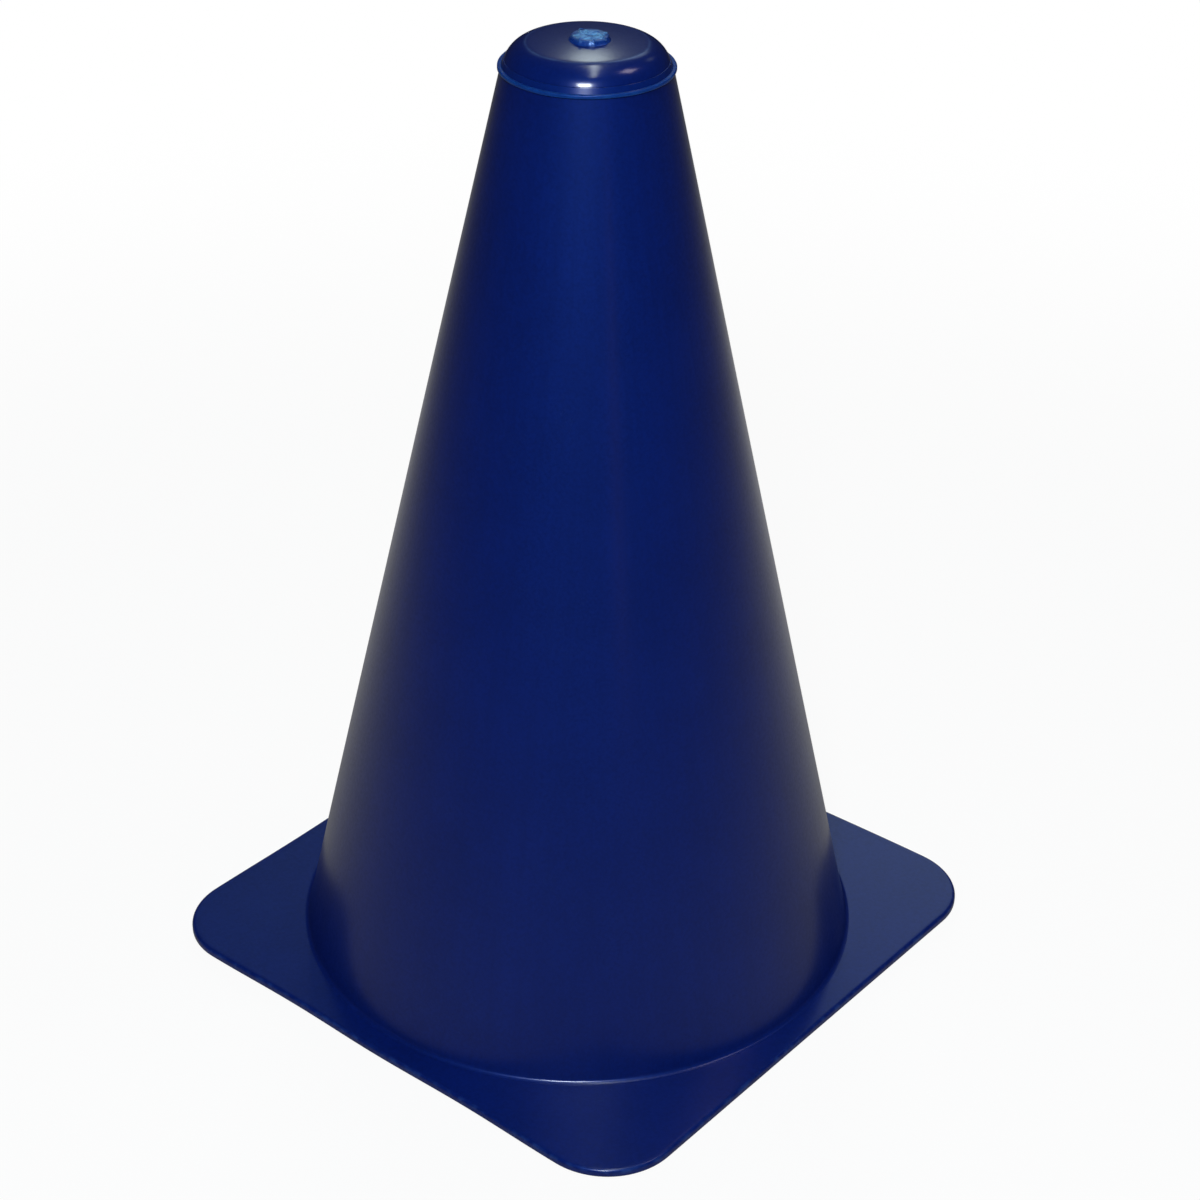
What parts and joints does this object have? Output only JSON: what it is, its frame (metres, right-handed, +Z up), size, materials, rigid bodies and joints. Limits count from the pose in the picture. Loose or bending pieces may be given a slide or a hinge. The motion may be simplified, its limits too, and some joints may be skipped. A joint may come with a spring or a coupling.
{
  "type": "sports marker cone",
  "caption": "Hollow marker cone for sports training: thin tapered wall on a square base plate with round corners, thin lip, domed crown and an open mouth for stacking.",
  "frame": {"origin": "middle of the base plate's underside, on the ground", "axes": "+Z up along the cone's axis; X and Y square to the sides of the base plate"},
  "size_m": [0.148, 0.148, 0.2305],
  "materials": {
    "body_plastic": "satin dark blue moulded polyethylene with a fine grain",
    "crown_plastic": "the same dark blue plastic, smoother and glossier",
    "lip_plastic": "thin edge that lets light through, so it looks lighter",
    "torn_plastic": "torn, light blue and slightly translucent"
  },
  "bodies": {
    "root": {"base_plate": "body_plastic", "cone_wall": "body_plastic", "lip_ring": "lip_plastic", "collar": "crown_plastic", "crown": "crown_plastic", "gate_stub": "torn_plastic"}
  },
  "joints": []
}
